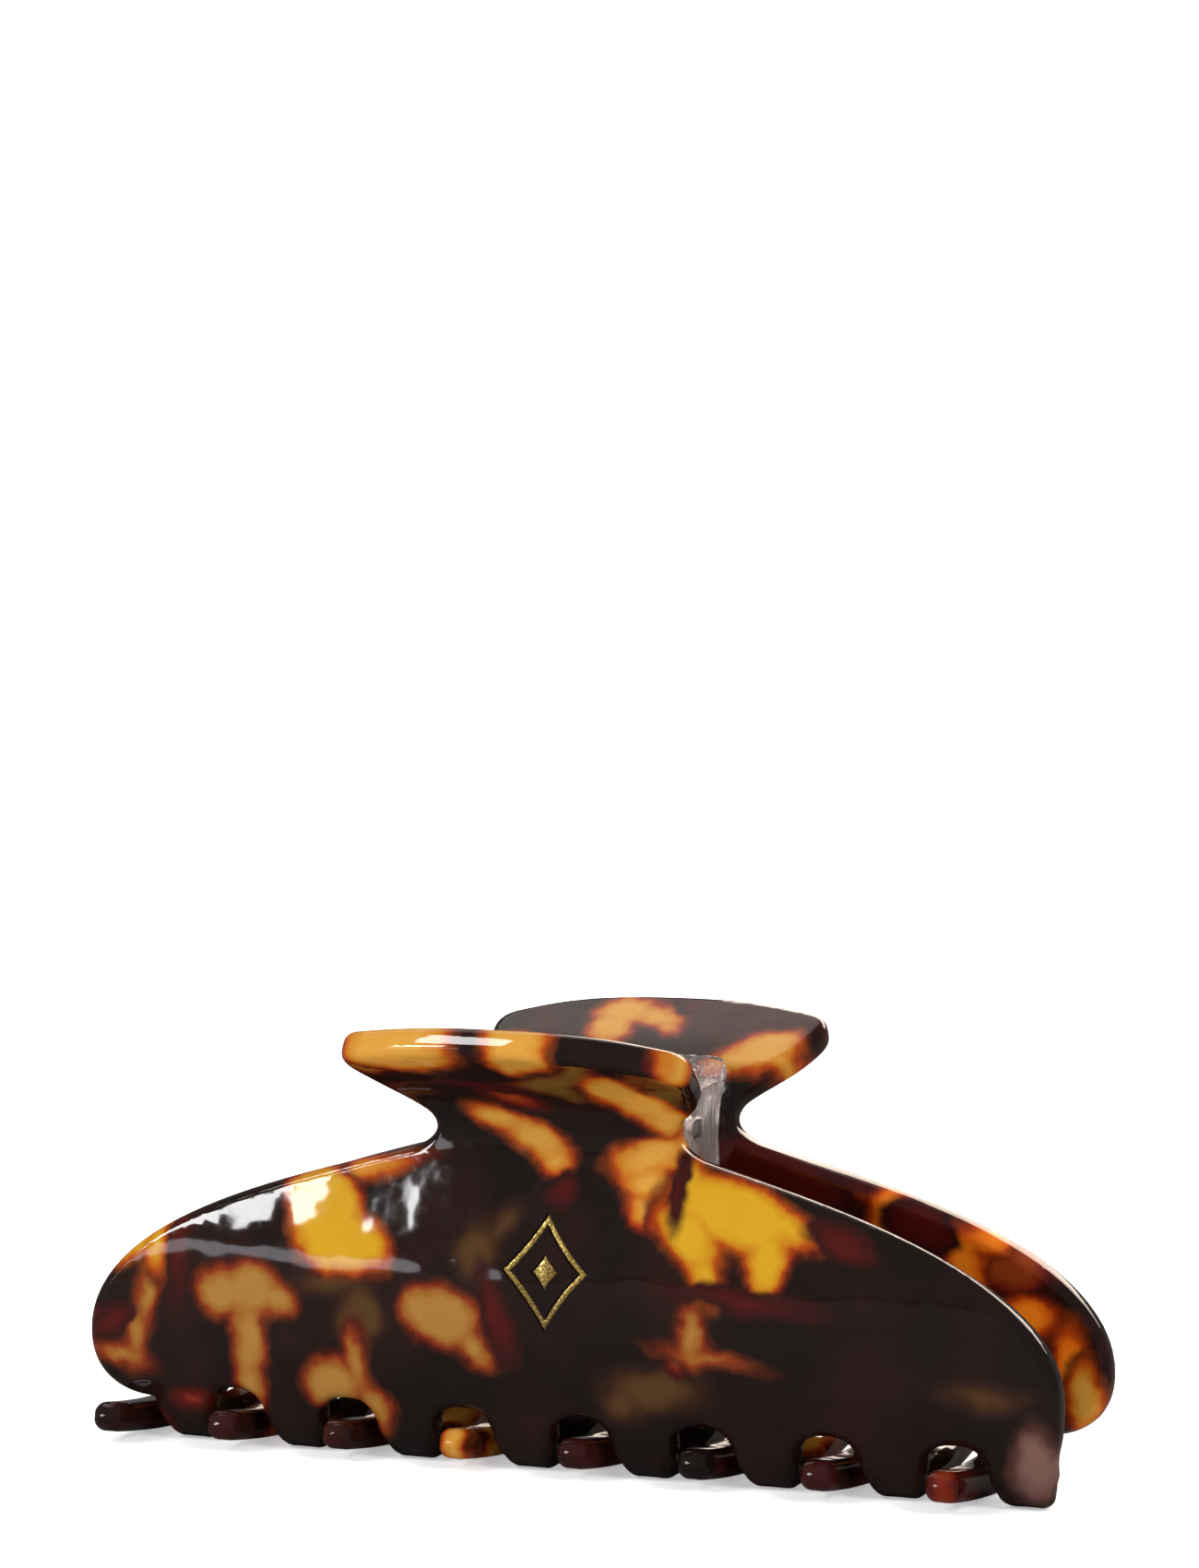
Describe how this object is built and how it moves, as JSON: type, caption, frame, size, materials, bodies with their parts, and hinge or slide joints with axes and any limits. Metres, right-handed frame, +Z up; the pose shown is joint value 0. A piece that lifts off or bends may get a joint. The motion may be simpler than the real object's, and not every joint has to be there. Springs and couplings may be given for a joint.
{
  "type": "hair claw clip",
  "caption": "Sprung hair claw: curved tortoiseshell jaws with interleaved teeth and flared thumb pads, joined by a clear hinge with a steel pin and torsion spring.",
  "frame": {"origin": "middle of the footprint, on the surface that the closed clip stands on", "axes": "+X along the clip, +Z up from the teeth to the thumb pads, the jaw with the inlaid ornament on the -Y side"},
  "size_m": [0.11, 0.043, 0.0478],
  "materials": {
    "tortoiseshell": "polished acetate, near-black brown with amber, honey and dark red blotches",
    "clear_plastic": "clear moulded plastic, glossy",
    "steel": "bright drawn wire and rod",
    "gold_fill": "gold flake filling, speckled"
  },
  "bodies": {
    "front_half": {"front_jaw": "tortoiseshell", "front_hinge_leaf": "clear_plastic", "hinge_pin": "steel", "torsion_spring": "steel", "ornament_frame_inlay": "gold_fill", "ornament_centre_inlay": "gold_fill"},
    "rear_half": {"rear_jaw": "tortoiseshell", "rear_hinge_leaf": "clear_plastic"}
  },
  "joints": [
    {"name": "jaw_hinge", "type": "hinge", "parent": "front_half", "child": "rear_half", "pos_m": [0, 0, 0.0358], "axis": [1, 0, 0], "range_deg": [0, 75], "stiffness_Nm_per_rad": 0.08, "springref_deg": -34.38, "deforming": ["torsion_spring"]}
  ]
}
